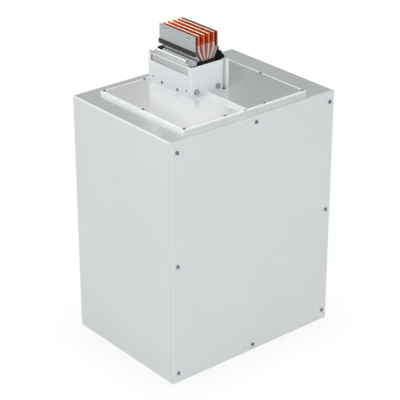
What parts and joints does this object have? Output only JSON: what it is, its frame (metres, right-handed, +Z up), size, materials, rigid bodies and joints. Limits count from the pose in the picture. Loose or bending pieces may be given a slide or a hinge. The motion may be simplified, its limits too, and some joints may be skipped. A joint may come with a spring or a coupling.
{
  "type": "busway cable feed section",
  "caption": "Floor-standing sheet steel cable box whose copper bars leave through a collar in the roof as a busway joint end, with a removable front cover.",
  "frame": {"origin": "centre of the cabinet's base, in the plane it stands on", "axes": "+Z up along the trunk, front cover facing -Y, +X along the width of the cover"},
  "size_m": [0.8, 0.5996, 1.244],
  "materials": {
    "painted_white": "fine textured light grey powder coat",
    "collar_paint": "smooth white powder coat",
    "bare_sheet": "satin mill finish",
    "zinc_steel": "bright zinc plate",
    "copper": "bare copper",
    "clear_film": "translucent polyester film",
    "black_moulding": "moulded insulating compound",
    "rubber_seal": "extruded rubber",
    "comb_board": "glass filled polyester",
    "foam_seal": "closed cell foam"
  },
  "bodies": {
    "cabinet": {"back_panel": "painted_white", "bar_comb_front": "comb_board", "bar_comb_rear": "comb_board", "bar_film_1": "clear_film", "bar_film_2": "clear_film", "bar_film_3": "clear_film", "bar_film_4": "clear_film", "base_rail_left": "painted_white", "base_rail_right": "painted_white", "busbar_1": "copper", "busbar_2": "copper", "busbar_3": "copper", "busbar_4": "copper", "cable_rail": "zinc_steel", "carrier_bolts": "zinc_steel", "collar_bolts": "zinc_steel", "collar_end_front": "collar_paint", "collar_end_rear": "collar_paint", "collar_nuts": "zinc_steel", "collar_wall_left": "collar_paint", "collar_wall_right": "collar_paint", "comb_tie_rods": "zinc_steel", "cover_rivet_nuts": "zinc_steel", "earth_bar": "copper", "earth_bolts": "zinc_steel", "earth_brackets": "zinc_steel", "end_block_front": "black_moulding", "end_block_rear": "black_moulding", "flange_gasket": "foam_seal", "flange_plate_left": "painted_white", "flange_plate_right": "painted_white", "flange_screws": "zinc_steel", "floor_panel": "painted_white", "front_frame": "painted_white", "housing_left": "bare_sheet", "housing_right": "bare_sheet", "joint_band_left": "bare_sheet", "joint_band_right": "bare_sheet", "joint_seal_left": "rubber_seal", "joint_seal_right": "rubber_seal", "joint_tongue_left": "bare_sheet", "joint_tongue_right": "bare_sheet", "roof_panel": "painted_white", "seam_cap": "painted_white", "side_panel_left": "painted_white", "side_panel_right": "painted_white", "support_rail": "zinc_steel", "trunk_carrier_left": "zinc_steel", "trunk_carrier_right": "zinc_steel", "trunk_plate_left": "bare_sheet", "trunk_plate_right": "bare_sheet", "wall_screws": "zinc_steel", "weld_nuts": "zinc_steel"},
    "cover": {"front_cover": "painted_white", "cover_stiffener": "painted_white", "cover_gasket": "foam_seal", "cover_screws": "zinc_steel"},
    "gland": {"gland_plate": "bare_sheet", "gland_gasket": "foam_seal", "gland_screws": "zinc_steel"}
  },
  "joints": [
    {"name": "cover_pull", "type": "slide", "parent": "cabinet", "child": "cover", "axis": [0, -1, 0], "range_m": [0, 0.4]},
    {"name": "gland_lift", "type": "slide", "parent": "cabinet", "child": "gland", "axis": [0, 0, 1], "range_m": [0, 0.15]}
  ]
}
